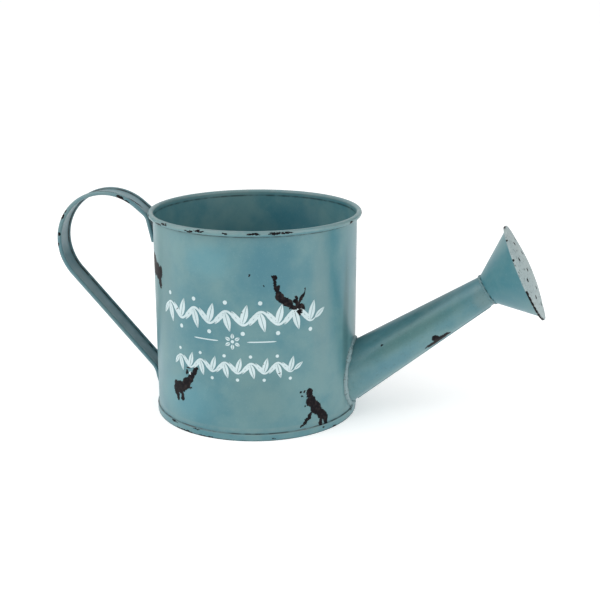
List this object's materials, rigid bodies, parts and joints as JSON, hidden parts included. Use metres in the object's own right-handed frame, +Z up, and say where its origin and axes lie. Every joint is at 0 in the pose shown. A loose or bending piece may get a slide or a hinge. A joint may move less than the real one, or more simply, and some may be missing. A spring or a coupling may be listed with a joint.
{
  "type": "watering can",
  "caption": "Small open-topped round tinplate watering can with a wired rim, strap handle, straight tapered spout and a conical rose.",
  "frame": {"origin": "centre of the foot, on the plane that the can stands on", "axes": "+Z up along the can's axis, +X towards the spout, -X towards the handle"},
  "size_m": [0.3176, 0.136, 0.1408],
  "materials": {
    "teal_paint": "semi-gloss teal-blue enamel, chipped to dark metal in places",
    "painted_solder": "lumpy solder under the same paint, worn paler on its crests",
    "rose_face_paint": "pale, slightly chalky teal-grey paint",
    "wire_steel": "bare drawn iron wire, hidden in the rim",
    "seam_sealant": "set sealing compound, hidden in the base seam"
  },
  "bodies": {
    "root": {"body_wall": "teal_paint", "rim_wire": "wire_steel", "base_pan": "teal_paint", "base_seam_sealant": "seam_sealant", "handle_strap": "teal_paint", "handle_upper_solder": "painted_solder", "handle_lower_solder": "painted_solder", "spout_tube": "teal_paint", "spout_root_solder": "painted_solder", "rose_cone": "teal_paint", "rose_neck_solder": "painted_solder", "rose_face_plate": "rose_face_paint"}
  },
  "joints": []
}
